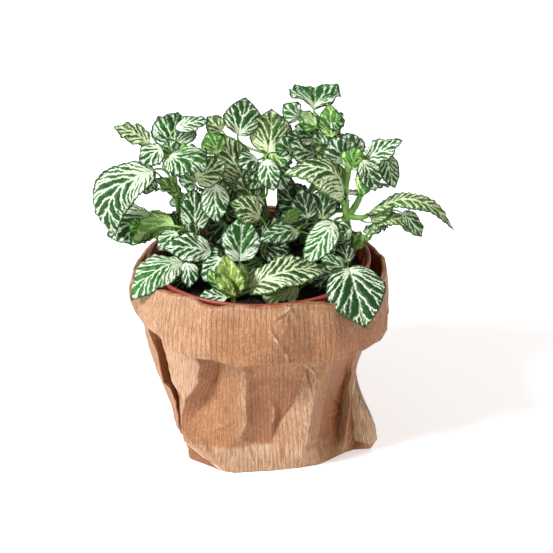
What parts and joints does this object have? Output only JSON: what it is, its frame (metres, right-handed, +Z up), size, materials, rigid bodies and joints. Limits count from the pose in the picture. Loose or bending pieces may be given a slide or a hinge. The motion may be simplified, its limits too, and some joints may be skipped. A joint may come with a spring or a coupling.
{
  "type": "potted nerve plant",
  "caption": "Nerve plant with white-veined green leaves, growing in a round nursery pot that stands in a kraft paper bag with a turned-down cuff.",
  "frame": {"origin": "on the paper bag's flat underside, straight under the middle of the pot", "axes": "+Z up; -Y to the front, the side that the picture shows; +X to the right seen from the front"},
  "size_m": [0.1859, 0.134, 0.1892],
  "materials": {
    "kraft_paper": "matte",
    "pot_plastic": "satin",
    "potting_soil": "matte",
    "stem": "satin",
    "leaf": "satin"
  },
  "bodies": {
    "root": {"paper_bag": "kraft_paper", "nursery_pot": "pot_plastic", "soil": "potting_soil", "left_stem": "stem", "low_left_stem": "stem", "inner_stem": "stem", "centre_stem": "stem", "low_centre_stem": "stem", "right_stem": "stem", "outer_right_stem": "stem", "front_right_stem": "stem", "front_shoot": "stem", "back_left_stem": "stem", "back_right_stem": "stem", "left_leaf_1": "leaf", "left_leaf_2": "leaf", "left_leaf_3": "leaf", "left_leaf_4": "leaf", "left_leaf_5": "leaf", "left_leaf_6": "leaf", "left_leaf_7": "leaf", "left_leaf_8": "leaf", "left_leaf_9": "leaf", "inner_leaf_1": "leaf", "inner_leaf_2": "leaf", "centre_leaf_1": "leaf", "centre_leaf_2": "leaf", "centre_leaf_3": "leaf", "centre_leaf_4": "leaf", "centre_leaf_5": "leaf", "centre_leaf_6": "leaf", "low_leaf_1": "leaf", "low_leaf_2": "leaf", "low_leaf_3": "leaf", "low_leaf_4": "leaf", "low_leaf_5": "leaf", "low_leaf_6": "leaf", "top_leaf_1": "leaf", "top_leaf_2": "leaf", "top_leaf_3": "leaf", "right_leaf_1": "leaf", "right_leaf_2": "leaf", "right_leaf_3": "leaf", "right_leaf_4": "leaf", "right_leaf_5": "leaf", "right_leaf_6": "leaf", "right_leaf_7": "leaf", "right_leaf_8": "leaf", "right_leaf_9": "leaf", "right_leaf_10": "leaf", "front_leaf_1": "leaf", "front_leaf_2": "leaf", "front_leaf_3": "leaf", "front_leaf_4": "leaf", "front_leaf_5": "leaf", "front_leaf_6": "leaf", "back_leaf_1": "leaf", "back_leaf_2": "leaf", "back_leaf_3": "leaf", "back_leaf_4": "leaf"}
  },
  "joints": []
}
